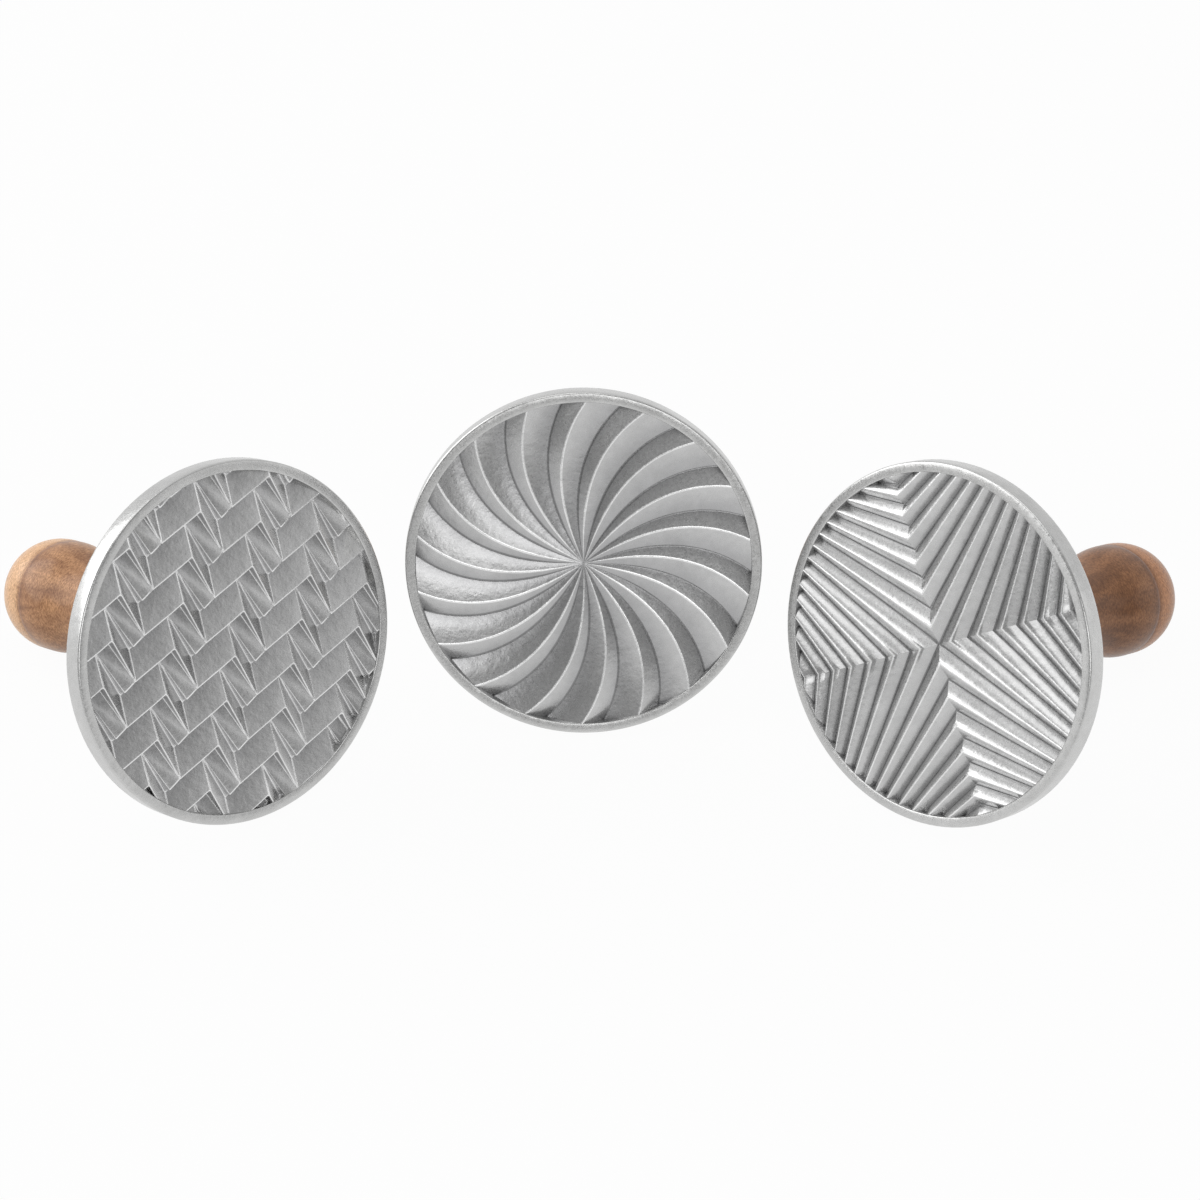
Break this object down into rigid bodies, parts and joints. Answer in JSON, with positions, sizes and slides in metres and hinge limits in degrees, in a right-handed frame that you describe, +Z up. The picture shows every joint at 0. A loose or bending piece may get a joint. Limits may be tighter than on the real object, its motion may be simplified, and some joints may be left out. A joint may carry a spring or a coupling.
{
  "type": "cookie stamp",
  "caption": "Round cast-aluminium cookie stamps with whorl, herringbone and ridged-star dies, each on a turned wooden handle that unscrews, lying face up side by side.",
  "frame": {"origin": "middle of the footprint of the set of three, on the table", "axes": "+X to the right along the row of stamps as seen from the front, +Y away from the viewer, +Z up"},
  "size_m": [0.2626, 0.1348, 0.0727],
  "materials": {
    "cast_aluminium": "satin cast, fine grain",
    "zinc_plated_steel": "bright zinc",
    "light_wood": "turned, oiled",
    "dark_wood": "turned, oiled"
  },
  "bodies": {
    "swirl_head": {"swirl_head": "cast_aluminium"},
    "swirl_stud": {"swirl_stud": "zinc_plated_steel"},
    "swirl_handle": {"swirl_handle": "light_wood"},
    "zigzag_head": {"zigzag_head": "cast_aluminium"},
    "zigzag_stud": {"zigzag_stud": "zinc_plated_steel"},
    "zigzag_handle": {"zigzag_handle": "light_wood"},
    "star_head": {"star_head": "cast_aluminium"},
    "star_stud": {"star_stud": "zinc_plated_steel"},
    "star_handle": {"star_handle": "dark_wood"}
  },
  "joints": [
    {"name": "swirl_travel", "type": "slide", "parent": "swirl_head", "child": "swirl_stud", "axis": [0, 0.9383, -0.3459], "range_m": [0, 0.00635]},
    {"name": "swirl_turn", "type": "hinge", "parent": "swirl_stud", "child": "swirl_handle", "pos_m": [-0.00103, -0.00249, 0.03364], "axis": [0, 0.9383, -0.3459], "range_deg": [0, 1800]},
    {"name": "zigzag_lift", "type": "slide", "parent": "swirl_head", "child": "zigzag_head", "axis": [0, 0, 1], "range_m": [0, 0.1]},
    {"name": "zigzag_travel", "type": "slide", "parent": "zigzag_head", "child": "zigzag_stud", "axis": [-0.66, 0.6669, -0.3459], "range_m": [0, 0.00635]},
    {"name": "zigzag_turn", "type": "hinge", "parent": "zigzag_stud", "child": "zigzag_handle", "pos_m": [-0.07838, -0.03126, 0.03364], "axis": [-0.66, 0.6669, -0.3459], "range_deg": [0, 1800]},
    {"name": "star_lift", "type": "slide", "parent": "swirl_head", "child": "star_head", "axis": [0, 0, 1], "range_m": [0, 0.1]},
    {"name": "star_travel", "type": "slide", "parent": "star_head", "child": "star_stud", "axis": [0.6727, 0.6541, -0.3459], "range_m": [0, 0.00635]},
    {"name": "star_turn", "type": "hinge", "parent": "star_stud", "child": "star_handle", "pos_m": [0.07762, -0.03209, 0.03364], "axis": [0.6727, 0.6541, -0.3459], "range_deg": [0, 1800]}
  ],
  "couplings": [
    {"joint": "swirl_travel", "follows": "swirl_turn", "m_per_rad": 0.00020213},
    {"joint": "zigzag_travel", "follows": "zigzag_turn", "m_per_rad": 0.00020213},
    {"joint": "star_travel", "follows": "star_turn", "m_per_rad": 0.00020213}
  ]
}
